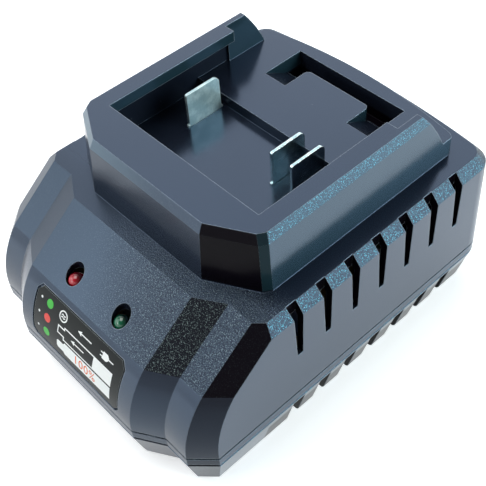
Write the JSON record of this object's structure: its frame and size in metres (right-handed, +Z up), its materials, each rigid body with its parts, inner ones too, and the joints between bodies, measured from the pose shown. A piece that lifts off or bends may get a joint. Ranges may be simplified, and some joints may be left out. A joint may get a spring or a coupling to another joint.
{
  "type": "power tool battery charger",
  "caption": "Slide-in charger for a power tool battery pack, with a rail dock, blade contacts, side vents, two lamps and a mains inlet.",
  "frame": {"origin": "on the resting plane, under the middle of the body's footprint", "axes": "+X right as seen from the front, +Y from the front with the lamps towards the rear, where the battery slides in, +Z up"},
  "size_m": [0.099, 0.1287, 0.0724],
  "materials": {
    "black_plastic": "satin black ABS, fine spark texture on the slopes and bevels",
    "legend_film": "charcoal printed film",
    "insulator": "matt black",
    "nickel": "nickel plated, bright",
    "red_lens": "clear red epoxy",
    "green_lens": "clear green epoxy",
    "board_laminate": "tan laminate",
    "ferrite": "dark grey ferrite",
    "winding_tape": "yellow tape",
    "can_sleeve": "dark blue shrink sleeve",
    "fuse_ceramic": "white ceramic with metal caps",
    "blue_epoxy": "blue dipped epoxy",
    "yellow_box": "yellow moulded box",
    "copper_wire": "enamelled copper",
    "chip_epoxy": "black moulded epoxy",
    "sink_aluminium": "extruded, plain",
    "wire_pvc": "insulated hook-up wire",
    "zinc_steel": "zinc plated",
    "foot_rubber": "black rubber"
  },
  "bodies": {
    "root": {"upper_housing": "black_plastic", "lower_housing": "black_plastic", "legend_panel": "legend_film", "contact_block": "insulator", "contact_negative": "nickel", "contact_sense": "nickel", "contact_positive": "nickel", "lamp_red": "red_lens", "lamp_green": "green_lens", "lamp_spacers": "insulator", "circuit_board": "board_laminate", "transformer_core": "ferrite", "transformer_bobbin": "insulator", "transformer_winding": "winding_tape", "bulk_capacitor": "can_sleeve", "output_capacitor": "can_sleeve", "mains_fuse": "fuse_ceramic", "varistor": "blue_epoxy", "filter_capacitor": "yellow_box", "filter_choke": "copper_wire", "bridge_rectifier": "chip_epoxy", "heat_sink": "sink_aluminium", "switching_transistor": "chip_epoxy", "output_diode": "chip_epoxy", "optocoupler": "chip_epoxy", "controller_chip": "chip_epoxy", "output_wires": "wire_pvc", "mains_wires": "wire_pvc", "mains_inlet": "insulator", "inlet_pins": "nickel", "case_screws": "zinc_steel", "board_screws": "zinc_steel", "rubber_feet": "foot_rubber"}
  },
  "joints": []
}
